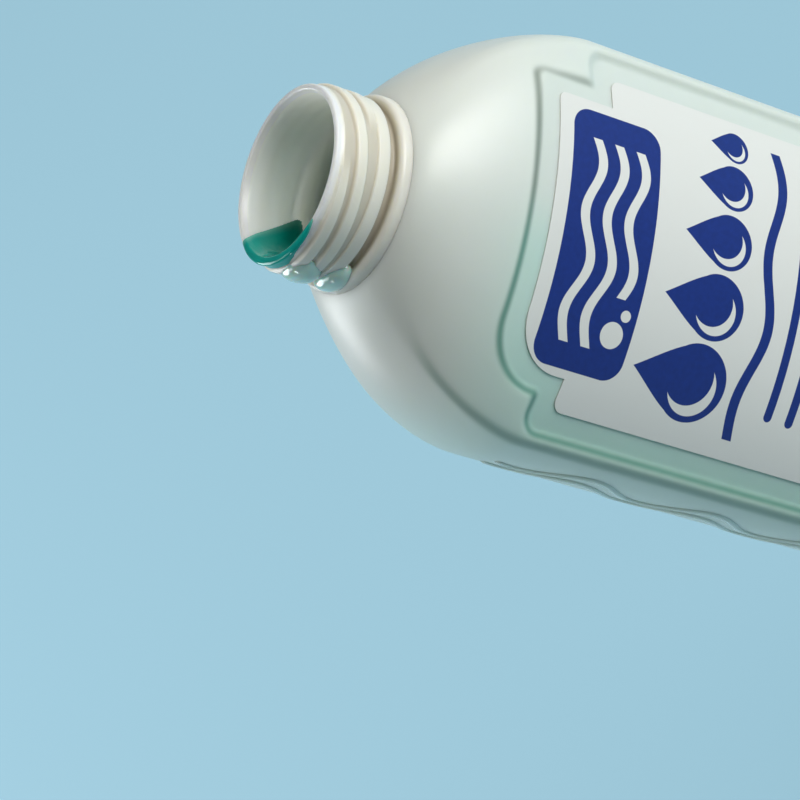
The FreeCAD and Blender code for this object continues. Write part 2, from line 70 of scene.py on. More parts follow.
# Neck
MOUTH_RADIUS = 17.8
MOUTH_LENGTH = 20.0
LIP_RADIUS = 20.0
LIP_ROUNDING = 0.5
LIP_INNER_RADIUS = 18.6
LIP_TAPER = 3.0
LIP_HEIGHT = 1.7
ROOT_RADIUS = 20.2
CREST_RADIUS = 21.0
THREAD_SPACING = 3.9
THREAD_STARTS = 2
THREAD_FRONT_DROP = 2.5
THREAD_TOP_DROP = 2.3
THREAD_TURNS = 0.95
THREAD_FADE = 0.09
RIDGE_FOOT = 1.65
RIDGE_CREST = 0.95
LAND_DROP = 10.2
LAND_RADIUS = 20.7
GROOVE_DROP = 13.1
GROOVE_RADIUS = 19.3
BEAD_DROP = 15.0
BEAD_RADIUS = 22.1
NECK_STEPS = 320
VALLEY_SHADE_STRENGTH = 0.6
# Painted light: how far under the top the lip is made paler, and the fade into it
LIT_LIP_DROP = 2.2
LIT_LIP_FADE = 1.2

# Rows of faces inside the mouth that still belong to the lip
LIP_ROWS = 9

# Label panel, the same on the front and the back
PANEL_DEPTH = 1.2
TAB_HALF = 35.3
TAB_LENGTH = 40.0
PANEL_HALF = 43.3
PANEL_TOP = HEIGHT - 43.6
PANEL_STEP = HEIGHT - 57.8
PANEL_FOOT = 16.0
SMALL_CORNER = 3.0
LARGE_CORNER = 14.0
STEP_CORNER = 5.0
FOOT_CORNER = 9.0
PANEL_BLEND = 1.4
PANEL_EDGE_START = 1.0
PANEL_EDGE_RUN = 3.0

# Painted shade: dark lines along the creases, which run out on the dome
CREASE_LINE_HALF = 0.4
CREASE_LINE_FADE = 1.7
CREASE_TOP_DROP = 26.0
CREASE_TOP_FADE = 12.0

# Raised waves on the -X side
RELIEF_HEIGHT = 0.5
RELIEF_TOP = HEIGHT - 66.0
RELIEF_FOOT = 48.0
WAVE_LENGTH = 34.0
WAVE_SWING = 4.2
WAVE_HALF = 1.2
WAVE_MIDDLES = (-3.0, 3.0)
WAVE_SINK = 0.3
WAVE_SPACING = 0.8

# Detergent left on the neck at its pouring side, -X
FILM_STEPS = 36
FILM_EDGES = (133.0, 236.0)
FILM_DEPTH = 17.0
FILM_RUN_OUT = 3.0
FILM_THICKNESS = 0.45
FILM_SUNK = 0.12
DROP_RINGS = 14
DROP_STEPS = 48
DROP_SUNK = 0.4


def smooth(values):
    """0 to 1 with a soft start and end."""
    held = np.clip(values, 0.0, 1.0)
    return held * held * (3 - 2 * held)


def spaced(start, stop, step):
    """Even values from start towards stop, about step apart, without stop itself."""
    count = max(1, round(abs(stop - start) / step))
    return list(np.linspace(start, stop, count, endpoint=False))


# Body: rings of points from the middle of the base up to the neck, and back down inside


def shoulder_share(level, start, top, power, root):
    """What is left of the body's extra size at a level of the dome: 1 at its start, 0 at its top."""
    climb = min(1.0, max(0.0, (level - start) / (top - start)))
    return (1 - climb**power) ** (1 / root)


def section_sizes(level, inset):
    """Half width, half depth, crease place and crease softness at a level, drawn in by inset."""
    top = HEIGHT - NECK_DROP - inset
    ring = RING_RADIUS - inset
    side = shoulder_share(level, HEIGHT - SIDE_DROP, top, SIDE_POWER, SIDE_ROOT)
    front = shoulder_share(level, HEIGHT - FRONT_DROP, top, FRONT_POWER, FRONT_ROOT)
    wide = ring + (BODY_WIDTH / 2 - inset - ring) * side
    deep = ring + (BODY_DEPTH / 2 - inset - ring) * front
    fade_start = HEIGHT - FADE_DROP
    fade = min(1.0, max(0.0, (level - fade_start) / (top - fade_start))) ** FADE_POWER
    share_x = CREASE_SPAN / BODY_WIDTH * (1 - fade) + math.sqrt(0.5) * fade
    share_y = CREASE_GAP / BODY_DEPTH * (1 - fade) + math.sqrt(0.5) * fade
    softness = CREASE_SOFTNESS * (1 - fade) + CREASE_FADE * fade
    return wide, deep, wide * share_x, deep * share_y, softness


def arc_of(half_chord, rise):
    """Radius and half angle of the arc over a chord."""
    radius = (half_chord**2 + rise**2) / (2 * rise)
    return radius, math.asin(min(1.0, half_chord / radius))


# Where a quarter's points lie: shares of the broad arc, of the crease and of the narrow arc
BROAD_END = 44.2
BROAD_SHARES = np.array(
    spaced(0, 20, 1.6)
    + spaced(20, 33, 0.7)
    + spaced(33, 37.4, 0.45)
    + spaced(37.4, 41.3, 0.8)
    + spaced(41.3, BROAD_END, 0.42)
) / BROAD_END
CREASE_SHARES = np.linspace(0, 1, 8, endpoint=False)
NARROW_SHARES = np.linspace(1, 0, 27)


def quarter(level, inset):
    """Points from the middle of the front face to the middle of the +X side."""
    wide, deep, crease_x, crease_y, softness = section_sizes(level, inset)
    broad_radius, broad_angle = arc_of(crease_x, deep - crease_y)
    narrow_radius, narrow_angle = arc_of(crease_y, wide - crease_x)
    broad_angle -= softness / broad_radius
    narrow_angle -= softness / narrow_radius
    broad = np.arcsin(BROAD_SHARES * math.sin(broad_angle))
    narrow = np.arcsin(NARROW_SHARES * math.sin(narrow_angle))

    def on_broad(angle):
        return np.stack([broad_radius * np.sin(angle), broad_radius * (1 - np.cos(angle)) - deep], -1)

    def on_narrow(angle):
        return np.stack([wide - narrow_radius * (1 - np.cos(angle)), -narrow_radius * np.sin(angle)], -1)

    start = on_broad(np.array(broad_angle))
    end = on_narrow(np.array(narrow_angle))
    reach = softness * CREASE_HANDLE
    start_pull = start + reach * np.array([math.cos(broad_angle), math.sin(broad_angle)])
    end_pull = end - reach * np.array([math.sin(narrow_angle), math.cos(narrow_angle)])
    share = CREASE_SHARES[:, None]
    left = 1 - share
    crease = (
        left**3 * start
        + 3 * left**2 * share * start_pull
        + 3 * left * share**2 * end_pull
        + share**3 * end
    )
    return np.vstack([on_broad(broad), crease, on_narrow(narrow)])


def whole_ring(level, inset):
    """The quarter mirrored round, anticlockwise from the middle of the front face."""
    first = quarter(level, inset)
    second = (first * [1, -1])[-2::-1]
    third = (first * [-1, -1])[1:]
    fourth = (first * [-1, 1])[-2:0:-1]
    return np.vstack([first, second, third, fourth])


def crease_shade_values(ring, level):
    """1 along the four creases, falling to 0 beside them and where they run out on the dome: where
    painted shade darkens the plastic.
    """
    crease_x, crease_y = section_sizes(level, 0.0)[2:4]
    away = np.hypot(np.abs(ring[:, 0]) - crease_x, np.abs(ring[:, 1]) - crease_y)
    beside = smooth(1 - (away - CREASE_LINE_HALF) / CREASE_LINE_FADE)
    return beside * smooth((HEIGHT - CREASE_TOP_DROP - level) / CREASE_TOP_FADE)


def rounded_box(x, z, left, right, foot, top, radii):
    """Distance to a box with rounded corners; radii are top left, top right, foot left, foot right."""
    middle_x = (left + right) / 2
    middle_z = (foot + top) / 2
    upper = np.where(x < middle_x, radii[0], radii[1])
    lower = np.where(x < middle_x, radii[2], radii[3])
    radius = np.where(z > middle_z, upper, lower)
    across = np.abs(x - middle_x) - (right - left) / 2 + radius
    along = np.abs(z - middle_z) - (top - foot) / 2 + radius
    outside = np.hypot(np.maximum(across, 0), np.maximum(along, 0))
    return outside + np.minimum(np.maximum(across, along), 0) - radius


def panel_distance(x, z):
    """Distance to the edge of the stepped label panel, less than 0 inside it."""
    tab_radii = (LARGE_CORNER, SMALL_CORNER, 0.1, 0.1)
    main_radii = (STEP_CORNER, STEP_CORNER, FOOT_CORNER, FOOT_CORNER)
    tab = rounded_box(x, z, -TAB_HALF, TAB_HALF, PANEL_STEP - TAB_LENGTH, PANEL_TOP, tab_radii)
    main = rounded_box(x, z, -PANEL_HALF, PANEL_HALF, PANEL_FOOT, PANEL_STEP, main_radii)
    mix = np.clip(0.5 + 0.5 * (main - tab) / PANEL_BLEND, 0, 1)
    return main * (1 - mix) + tab * mix - PANEL_BLEND * mix * (1 - mix)


FACE_RADIUS, _ = arc_of(CREASE_SPAN / 2, (BODY_DEPTH - CREASE_GAP) / 2)
FACE_MIDDLE = FACE_RADIUS - BODY_DEPTH / 2


def press_panels(ring, level, depth, grow):
    """Sinks the two broad faces to the panel's floor inside its outline, over a soft edge."""
    x, y = ring[:, 0], ring[:, 1]
    distance = panel_distance(x, np.full_like(x, level)) - grow
    ramp = smooth((PANEL_EDGE_START - distance) / PANEL_EDGE_RUN)
    floor = np.sqrt(np.maximum((FACE_RADIUS - depth) ** 2 - x**2, 0)) - FACE_MIDDLE
    sink = np.maximum(np.abs(y) - floor, 0) * ramp
    ring[:, 1] = y - np.sign(y) * sink
    return ramp


def outer_rows():
    """(level, inset) of each ring from the push-up to the dome's top, closer at the panel's ends."""
    crown = PUSH_UP_INSET + PUSH_UP_RUN
    rows = [(PUSH_UP_HEIGHT, crown + 5), (PUSH_UP_HEIGHT, crown)]
    rows += [(PUSH_UP_HEIGHT * (1 - share), crown - PUSH_UP_RUN * share) for share in (0.15, 0.85)]
    rows += [(0.0, PUSH_UP_INSET - 0.6), (0.0, BASE_ROUNDING + 0.5)]
    for angle in np.radians(np.linspace(0, 90, 11)):
        rows.append((BASE_ROUNDING * (1 - math.cos(angle)), BASE_ROUNDING * (1 - math.sin(angle))))
    levels = spaced(8.2, 14.4, 1.5) + spaced(14.4, 18.4, 0.42) + spaced(18.4, 26, 1.1)
    levels += spaced(26, 199, 1.55) + spaced(199, 216.6, 0.52) + spaced(216.6, 220, 0.4)
    top = HEIGHT - NECK_DROP
    levels += spaced(220, 236, 1.15) + spaced(236, top - 1.2, 0.8)
    levels += [top - 1.2, top - 0.7, top - 0.3, top - 0.08, top]
    return rows + [(level, 0.0) for level in levels]


def body_rings():
    """Rings of points for the outside and the inside of the blown body, with panel values and the
    painted shade along the creases.
    """
    rings = []
    panel = []
    creases = []
    for level, inset in outer_rows():
        ring = whole_ring(level, inset)
        creases.append(crease_shade_values(ring, level) * (inset == 0.0))
        ramp = press_panels(ring, level, PANEL_DEPTH, 0.0)
        rings.append(np.column_stack([ring, np.full(len(ring), level)]))
        panel.append(ramp)
    inset = WALL + 0.6
    top = HEIGHT - NECK_DROP - inset
    levels = [top, top - 0.3, top - 1] + spaced(top - 3, 203, 3) + spaced(203, 12, 16) + [12, 7, inset]
    for level in levels:
        ring = whole_ring(level, inset)
        press_panels(ring, level, PANEL_DEPTH + inset, inset + 0.8)
        rings.append(np.column_stack([ring, np.full(len(ring), level)]))
        panel.append(np.zeros(len(ring)))
        creases.append(np.zeros(len(ring)))
    return rings, panel, creases


def stack_faces(rows, count, looped=False):
    """Quads between equal closed rings, and back to the first ring where looped."""
    faces = []
    for row in range(rows if looped else rows - 1):
        low = row * count
        high = (row + 1) % rows * count
        for index in range(count):
            after = (index + 1) % count
            faces.append((low + index, low + after, high + after, high + index))
    return faces


def sheet_faces(rows, count):
    """Quads between equal open rows."""
    faces = []
    for row in range(rows - 1):
        for place in range(count - 1):
            first = row * count + place
            faces.append((first, first + count, first + count + 1, first + 1))
    return faces


def make_mesh(name, points, faces, material, crisp_angle=180):
    """A smooth-shaded object from points in millimetres, crisp where faces meet above an angle."""
    mesh = bpy.data.meshes.new(name)
    mesh.from_pydata((np.asarray(points) * MM).tolist(), [], faces)
    mesh.shade_smooth()
    mesh.set_sharp_from_angle(angle=math.radians(crisp_angle))
    mesh.materials.append(material)
    piece = bpy.data.objects.new(name, mesh)
    bpy.context.scene.collection.objects.link(piece)
    return piece


def add_values(piece, name, values):
    """A number for each point, for the material to read."""
    attribute = piece.data.attributes.new(name, "FLOAT", "POINT")
    attribute.data.foreach_set("value", np.asarray(values, np.float32))


def make_body(material):
    """The blown body, open at the neck, with values for the panel's depth and for the painted shade
    along the creases.
    """
    rings, panel, creases = body_rings()
    count = len(rings[0])
    faces = stack_faces(len(rings), count)
    base_middle = len(rings) * count
    floor_middle = base_middle + 1
    points = np.vstack([*rings, [0, 0, PUSH_UP_HEIGHT], [0, 0, rings[-1][0][2]]])
    last = (len(rings) - 1) * count
    for index in range(count):
        after = (index + 1) % count
        faces.append((index, base_middle, after))
        faces.append((last + index, last + after, floor_middle))
    piece = make_mesh("bottle_body", points, faces, material, 50)
    add_values(piece, "panel", np.append(np.concatenate(panel), [0, 0]))
    # The crease values carry painted shade along the creases
    add_values(piece, "crease", np.append(np.concatenate(creases), [0, 0]))
    return piece


# Raised waves: ribbons with rounded edges and ends, laid on the -X side


def side_reach(y, level):
    """How far the plain side lies from the middle, at a place across it."""
    wide, _, crease_x, crease_y, _ = section_sizes(level, 0.0)
    radius, _ = arc_of(crease_y, wide - crease_x)
    return wide - radius + np.sqrt(radius**2 - y**2)


def make_wave(name, middle, material):
    """One wave up the side: an arch across, on a short skirt that is sunk in the wall."""
    turns = 2 * math.pi / WAVE_LENGTH
    rounded = WAVE_HALF * np.cos(np.linspace(0, math.pi / 2, 7))
    run = spaced(RELIEF_FOOT, RELIEF_TOP, WAVE_SPACING)[1:]
    steps = [*(RELIEF_FOOT - rounded), *run, *(RELIEF_TOP + rounded[::-1])]
    across = np.concatenate([[-1], np.linspace(-1, 1, 17), [1]])
    points = []
    for step in steps:
        held = min(max(step, RELIEF_FOOT), RELIEF_TOP)
        course = turns * (held - RELIEF_FOOT)
        lean = math.atan(WAVE_SWING * turns * math.cos(course))
        past = step - held
        side = across * math.sqrt(max(WAVE_HALF**2 - past**2, 1e-4))
        y = middle + WAVE_SWING * math.sin(course) + side * math.cos(lean) + past * math.sin(lean)
        level = held + past * math.cos(lean) - side * math.sin(lean)
        height = RELIEF_HEIGHT * (1 - (np.hypot(side, past) / WAVE_HALF) ** 2)
        height[[0, -1]] = -WAVE_SINK
        reach = [side_reach(*place) for place in zip(y, level)]
        points.append(np.column_stack([-(np.array(reach) + height), y, level]))
    faces = sheet_faces(len(steps), len(across))
    return make_mesh(name, np.vstack(points), faces, material)


# Neck: a turned profile, with the thread's ridges lifted off its wall


def thread_lift(angle, level):
    """How far the thread stands off the neck's wall at an angle and a level."""
    lead = THREAD_SPACING * THREAD_STARTS
    first = -math.pi / 2 + 2 * math.pi * (THREAD_FRONT_DROP - THREAD_TOP_DROP) / lead
    lift = np.zeros(np.broadcast(angle, level).shape)
    for start in range(THREAD_STARTS):
        turned = (first + 2 * math.pi * start / THREAD_STARTS - angle) % (2 * math.pi)
        share = turned / (2 * math.pi * THREAD_TURNS)
        crest = HEIGHT - THREAD_TOP_DROP - lead * turned / (2 * math.pi)
        ends = np.sin(math.pi / 2 * np.clip(np.minimum(share, 1 - share) / THREAD_FADE, 0, 1))
        away = np.abs(level - crest)
        flank = smooth((RIDGE_FOOT - away) / (RIDGE_FOOT - RIDGE_CREST))
        lift = np.maximum(lift, ends * flank)
    return lift * (CREST_RADIUS - ROOT_RADIUS)


def corner(centre_radius, centre_level, radius, start, end, steps=6):
    """Points round a corner of the profile, angles in degrees."""
    angles = np.radians(np.linspace(start, end, steps))
    return [(centre_radius + radius * math.cos(a), centre_level + radius * math.sin(a)) for a in angles]


def neck_outside():
    """(radius, level) from the foot of the bead up to the top of the lip."""
    foot = HEIGHT - NECK_DROP - WALL
    bead_top = HEIGHT - BEAD_DROP
    groove_top = HEIGHT - GROOVE_DROP
    land_top = HEIGHT - LAND_DROP
    points = [(BEAD_RADIUS - 0.35, foot), (BEAD_RADIUS, foot + 1.1), (BEAD_RADIUS, bead_top - 1.15)]
    points += corner(BEAD_RADIUS - 1.1, bead_top - 1.1, 1.1, 0, 90, 9)
    points += corner(GROOVE_RADIUS + 0.5, bead_top + 0.5, 0.5, 270, 180)
    points += corner(GROOVE_RADIUS + 0.4, groove_top - 0.4, 0.4, 180, 90)
    points += corner(LAND_RADIUS - 0.35, groove_top + 0.35, 0.35, 270, 360)
    points += corner(LAND_RADIUS - 0.3, land_top - 0.3, 0.3, 0, 90)
    wall_top = HEIGHT - LIP_HEIGHT
    points += [(ROOT_RADIUS, level) for level in spaced(land_top + 0.15, wall_top, 0.2)]
    points += [(LIP_RADIUS, wall_top + 0.1), (LIP_RADIUS, HEIGHT - LIP_ROUNDING - 0.1)]
    points += corner(LIP_RADIUS - LIP_ROUNDING, HEIGHT - LIP_ROUNDING, LIP_ROUNDING, 0, 90, 8)
    return points


def neck_inside():
    """(radius, level) from the top of the thin lip, down the bore and out to the neck's foot."""
    points = corner(LIP_INNER_RADIUS + LIP_ROUNDING, HEIGHT - LIP_ROUNDING, LIP_ROUNDING, 90, 180, 8)
    for share in (0.15, 0.3, 0.45, 0.6, 0.75, 0.9):
        taper = MOUTH_RADIUS + (LIP_INNER_RADIUS - MOUTH_RADIUS) * (1 - share) ** 1.6
        points.append((taper, HEIGHT - LIP_ROUNDING - share * LIP_TAPER))
    points += [(MOUTH_RADIUS, HEIGHT - drop) for drop in spaced(4.0, MOUTH_LENGTH - 0.8, 0.9)]
    points += corner(MOUTH_RADIUS + 0.9, HEIGHT - MOUTH_LENGTH + 0.2, 0.9, 180, 250, 5)
    points.append((RING_RADIUS - WALL - 0.8, HEIGHT - MOUTH_LENGTH - 0.6))
    return points


NECK_OUTSIDE = neck_outside()


def turned_ring(radius, angles, level):
    """Points at a radius, or at one radius for each angle."""
    return np.column_stack([radius * np.cos(angles), radius * np.sin(angles), level + 0 * angles])


def make_neck(material, bore_material):
    """The neck, its bore in a material of its own, with values for the painted shade in its valleys and
    groove and the painted light on its lip.
    """
    outside = len(NECK_OUTSIDE)
    angles = np.linspace(0, 2 * math.pi, NECK_STEPS, endpoint=False)
    rings = []
    valleys = []
    lip_lights = []
    for index, (radius, level) in enumerate(NECK_OUTSIDE + neck_inside()):
        threaded = radius == ROOT_RADIUS
        out = radius + threaded * thread_lift(angles, level)
        rings.append(turned_ring(out, angles, level))
        # Painted shade: the groove under the land is darkened in full, the thread's valleys in part
        grooved = index < outside and radius < LAND_RADIUS - 0.6 and level < HEIGHT - LAND_DROP - 1
        valley_shade = smooth((CREST_RADIUS - out) / (CREST_RADIUS - ROOT_RADIUS)) * threaded * VALLEY_SHADE_STRENGTH
        valleys.append(np.ones(NECK_STEPS) if grooved else valley_shade)
        # Painted light: the top of the lip is made paler, as where light falls on it
        lip_lights.append(np.full(NECK_STEPS, smooth((level - HEIGHT + LIT_LIP_DROP) / LIT_LIP_FADE)))
    faces = stack_faces(len(rings), NECK_STEPS, looped=True)
    piece = make_mesh("bottle_neck", np.vstack(rings), faces, material, 60)
    add_values(piece, "valley_shade", np.concatenate(valleys))
    # The lip values carry painted light on the lip's top
    add_values(piece, "lip", np.concatenate(lip_lights))
    piece.data.materials.append(bore_material)
    rows = np.arange(len(faces)) // NECK_STEPS
    bored = (rows >= outside + LIP_ROWS) & (rows < len(rings) - 1)
    piece.data.polygons.foreach_set("material_index", bored.astype(np.int32))
    return piece


# Detergent left on the neck: a film in the mouth and drops outside


def film_edges(drop, past):
    """The film's two edges in degrees: at a drop in the mouth, then past the lip, from 0 to 1."""
    first, last = FILM_EDGES
    if past <= 0:
        return first - 2.2 * drop, last + 0.6 * drop
    pinch = smooth(past * 1.25)
    return first + 37 * pinch, last - 40 * pinch


def make_film(material):
    """A sheet that follows the neck's wall up the mouth, over the lip and down outside."""
    mouth = [place for place in neck_inside() if place[1] > HEIGHT - FILM_DEPTH]
    outside = [place for place in NECK_OUTSIDE if place[1] > HEIGHT - FILM_RUN_OUT]
    path = np.array(mouth[::-1] + outside[::-1])
    steps = np.hypot(*np.diff(path, axis=0).T)
    course = np.append(0.0, np.cumsum(steps))
    ways = np.gradient(path, course, axis=0)
    lip = course[len(mouth)]
    share = np.linspace(0, 1, FILM_STEPS)
    points = []
    thickness = []
    for (radius, level), (way_out, way_up), run in zip(path, ways, course):
        low, high = film_edges(HEIGHT - level, (run - lip) / (course[-1] - lip))
        angles = np.radians(low + (high - low) * share)
        fade = smooth(run / 3.0) * smooth((course[-1] - run) / 1.2)
        swell = (1 - np.abs(2 * share - 1) ** 6) * fade
        lift = FILM_THICKNESS * swell - FILM_SUNK
        points.append(turned_ring(radius - way_up * lift, angles, level + way_out * lift))
        thickness.append(swell)
    faces = sheet_faces(len(path), FILM_STEPS)
    piece = make_mesh("detergent_film", np.vstack(points), faces, material)
    add_values(piece, "thickness", np.concatenate(thickness))
    return piece


def make_drop(name, angle, drop, across, along, lift, material):
    """A clinging drop: its middle on the neck, its half sizes, and how far it stands off."""
    turn = np.linspace(0, 2 * math.pi, DROP_STEPS, endpoint=False)
    outline = 1 + 0.10 * np.sin(2 * turn + 0.8) + 0.06 * np.sin(3 * turn)
    rows = []
    thickness = []
    for share in np.sin(np.linspace(0.06, 1, DROP_RINGS) * math.pi / 2):
        dome = math.sqrt(max(0.0, 1 - share**2))
        side = share * outline * np.cos(turn) * (1 - 0.18 * np.sin(turn)) * across
        rise = share * outline * np.sin(turn) * along
        stand = ROOT_RADIUS - DROP_SUNK + (lift + DROP_SUNK) * dome**0.8
        angles = math.radians(angle) + side / ROOT_RADIUS
        rows.append(turned_ring(stand, angles, HEIGHT - drop + rise))
        thickness += [dome] * DROP_STEPS
    quads = stack_faces(DROP_RINGS, DROP_STEPS)
    faces = [(first, fourth, third, second) for first, second, third, fourth in quads]
    last = (DROP_RINGS - 1) * DROP_STEPS
    faces.append(tuple(range(DROP_STEPS)))
    faces.append(tuple(reversed(range(last, last + DROP_STEPS))))
    piece = make_mesh(name, np.vstack(rows), faces, material)
    add_values(piece, "thickness", thickness)
    return piece


# Node trees written as sums: a Field is a socket that can be added, multiplied and compared


class Field:
    """A socket of a node tree that takes part in sums."""

    def __init__(self, tree, socket):
        self.tree = tree
        self.socket = socket

    def do(self, operation, *others):
        """A Math node with this socket first."""
        node = self.tree.nodes.new("ShaderNodeMath")
        node.operation = operation
        for slot, value in zip(node.inputs, (self, *others)):
            if isinstance(value, Field):
                self.tree.links.new(value.socket, slot)
            else:
                slot.default_value = value
        return Field(self.tree, node.outputs[0])

    def __add__(self, other):
        return self.do("ADD", other)

    def __sub__(self, other):
        return self.do("SUBTRACT", other)

    def __mul__(self, other):
        return self.do("MULTIPLY", other)

    def __neg__(self):
        return self.do("MULTIPLY", -1.0)

    def size(self):
        return self.do("ABSOLUTE")

    def least(self, other):
        return self.do("MINIMUM", other)

    def most(self, other):
        return self.do("MAXIMUM", other)

    def ramp(self, start, end):
        """0 at start and 1 at end, with a soft course between them."""
        node = self.tree.nodes.new("ShaderNodeMapRange")
        node.interpolation_type = "SMOOTHSTEP"
        self.tree.links.new(self.socket, node.inputs["Value"])
        node.inputs["From Min"].default_value = min(start, end)
        node.inputs["From Max"].default_value = max(start, end)
        node.inputs["To Min"].default_value = 0.0 if start < end else 1.0
        node.inputs["To Max"].default_value = 1.0 if start < end else 0.0
        return Field(self.tree, node.outputs["Result"])


class Finish:
    """A material with one Principled shader, and short ways to feed it."""

    def __init__(self, name):
        self.material = bpy.data.materials.new(name)
        self.material.use_nodes = True
        self.tree = self.material.node_tree
        self.shader = self.tree.nodes["Principled BSDF"]
        self.coordinates = self.tree.nodes.new("ShaderNodeTexCoord")

    def set(self, **values):
        """Numbers and colours that are the same all over, on the shader's own sockets."""
        for name, value in values.items():
            self.shader.inputs[name.replace("_", " ")].default_value = value

    def feed(self, name, field):
        self.tree.links.new(field.socket, self.shader.inputs[name])

    def place(self):
        """x, y and z in millimetres."""
        split = self.tree.nodes.new("ShaderNodeSeparateXYZ")
        self.tree.links.new(self.coordinates.outputs["Object"], split.inputs[0])
        return [Field(self.tree, socket) * (1 / MM) for socket in split.outputs]

    def value(self, name):
        """A number that the mesh carries."""
        node = self.tree.nodes.new("ShaderNodeAttribute")
        node.attribute_name = name
        return Field(self.tree, node.outputs["Fac"])

    def noise(self, size_mm, detail=2.0):
        """Clouds of about a size, from 0 to 1."""
        node = self.tree.nodes.new("ShaderNodeTexNoise")
        node.inputs["Scale"].default_value = 1 / (size_mm * MM)
        node.inputs["Detail"].default_value = detail
        self.tree.links.new(self.coordinates.outputs["Object"], node.inputs["Vector"])
        return Field(self.tree, node.outputs["Fac"])

    def seen_ray(self):
        """1 where the camera sees the surface, straight or in a reflection."""
        node = self.tree.nodes.new("ShaderNodeLightPath")
        straight, glossy, passed = (
            Field(self.tree, node.outputs[name])
            for name in ("Is Camera Ray", "Is Glossy Ray", "Is Transmission Ray")
        )
        return straight.most(glossy).most(passed)

    def mix(self, first, second, share):
        """The first colour where share is 0, the second where it is 1."""
        node = self.tree.nodes.new("ShaderNodeMix")
        node.data_type = "RGBA"
        for slot, value in ((node.inputs[6], first), (node.inputs[7], second)):
            if isinstance(value, Field):
                self.tree.links.new(value.socket, slot)
            else:
                slot.default_value = (*value, 1.0)
        self.tree.links.new(share.socket, node.inputs[0])
        return Field(self.tree, node.outputs[2])

    def bump(self, heights):
        """Bumps in turn; heights holds (field, distance in millimetres)."""
        before = None
        for field, distance in heights:
            node = self.tree.nodes.new("ShaderNodeBump")
            node.inputs["Distance"].default_value = distance * MM
            self.tree.links.new(field.socket, node.inputs["Height"])
            if before:
                self.tree.links.new(before.outputs[0], node.inputs["Normal"])
            before = node
        self.tree.links.new(before.outputs[0], self.shader.inputs["Normal"])


# Colours, as the shader takes them

PLASTIC = (0.76, 0.79, 0.73)
PLASTIC_NECK = (0.90, 0.87, 0.77)
PLASTIC_NECK_WARM = (0.87, 0.81, 0.70)
# Painted shade for the neck's thread valleys and groove
PLASTIC_VALLEY_SHADE = (0.52, 0.47, 0.37)
# Painted light: the paler colour of the lip's top
PLASTIC_LIP_LIT = (0.99, 0.99, 0.94)
# Painted light: the bore is coloured paler than the neck's outside, for light coming through the wall
PLASTIC_BORE_LIT = (0.98, 0.97, 0.78)
PLASTIC_BORE_DEEP_LIT = (0.94, 0.98, 0.76)
PLASTIC_TINTED = (0.56, 0.81, 0.70)
# Painted shade for the dark lines at the panel's step and along the creases, plain and tinted
PLASTIC_SHADE = (0.24, 0.28, 0.23)
PLASTIC_SHADE_TINTED = (0.12, 0.29, 0.22)
FILM = (0.82, 0.81, 0.77)
INK = (0.001, 0.013, 0.16)
INK_WORN = (0.003, 0.024, 0.24)
INK_PALE = (0.25, 0.50, 0.62)
DETERGENT = (0.0, 0.30, 0.26)
DETERGENT_BRIGHT = (0.0, 0.50, 0.41)
DETERGENT_DEEP = (0.0, 0.24, 0.22)
DETERGENT_THIN = (0.24, 0.66, 0.55)
DROP = (0.66, 0.85, 0.78)
DROP_DEEP = (0.42, 0.72, 0.65)
FLOOR = (0.34, 0.58, 0.70)

# The detergent's surface: the wall is tinted below it
FILL_DROP = 47.5
SURFACE = HEIGHT - FILL_DROP


def bottle_finish(name, gloss):
    """Milky plastic: tinted where detergent is behind it, with painted shade as dark lines round the
    panel's step and along the creases.

    The tint is deeper towards the pouring side, -X: over a short way in front, over the whole back.
    """
    finish = Finish(name)
    x, y, z = finish.place()
    clouds = finish.noise(38.0)
    panel = finish.value("panel")
    below = z.ramp(SURFACE + 20, SURFACE - 8)
    front = y.ramp(12, -12)
    low_side = x.ramp(10, -8) * front + x.ramp(58, -58) * (-front + 1.0)
    tint = below * (panel * 0.35 + 0.55) * (low_side * 0.85 + 0.15) + (clouds - 0.5) * 0.08
    tinted = finish.mix(PLASTIC, PLASTIC_TINTED, tint)
    # thin holds painted shade: a dark line round the panel's step, fainter towards +X, and one along the
    # creases on the -X side
    thin = panel * (-panel + 1.0) * 4.0 * (x.ramp(36.5, 32.5) * 0.82 + 0.08)
    thin = thin.most(finish.value("crease") * (low_side * 0.36 + 0.04))
    shade_colour = finish.mix(PLASTIC_SHADE, PLASTIC_SHADE_TINTED, low_side)
    finish.feed("Base Color", finish.mix(tinted, shade_colour, thin))
    grain = finish.noise(0.55)
    swell = finish.noise(9.0, 1.0)
    finish.feed("Roughness", clouds * 0.10 + 0.30 - gloss)
    finish.bump([(swell, 0.05), (grain, 0.008)])
    finish.set(IOR=1.50, Subsurface_Weight=0.6, Subsurface_Scale=0.003)
    finish.set(Subsurface_Radius=(1.0, 1.0, 0.85))
    return finish.material


def neck_finish():
    """The same plastic where it is thicker and empty: warmer, with painted shade in its valleys and
    groove and painted light that makes the lip pale.
    """
    finish = Finish("MilkyNeck")
    clouds = finish.noise(12.0)
    plain = finish.mix(PLASTIC_NECK, PLASTIC_NECK_WARM, clouds)
    outside = finish.mix(plain, PLASTIC_VALLEY_SHADE, finish.value("valley_shade"))
    finish.feed("Base Color", finish.mix(outside, PLASTIC_LIP_LIT, finish.value("lip")))
    finish.feed("Roughness", clouds * 0.12 + 0.26)
    finish.bump([(clouds, 0.03), (finish.noise(0.6), 0.008)])
    finish.set(IOR=1.50, Subsurface_Weight=0.8, Subsurface_Scale=0.003)
    finish.set(Subsurface_Radius=(1.0, 1.0, 0.8))
    return finish.material


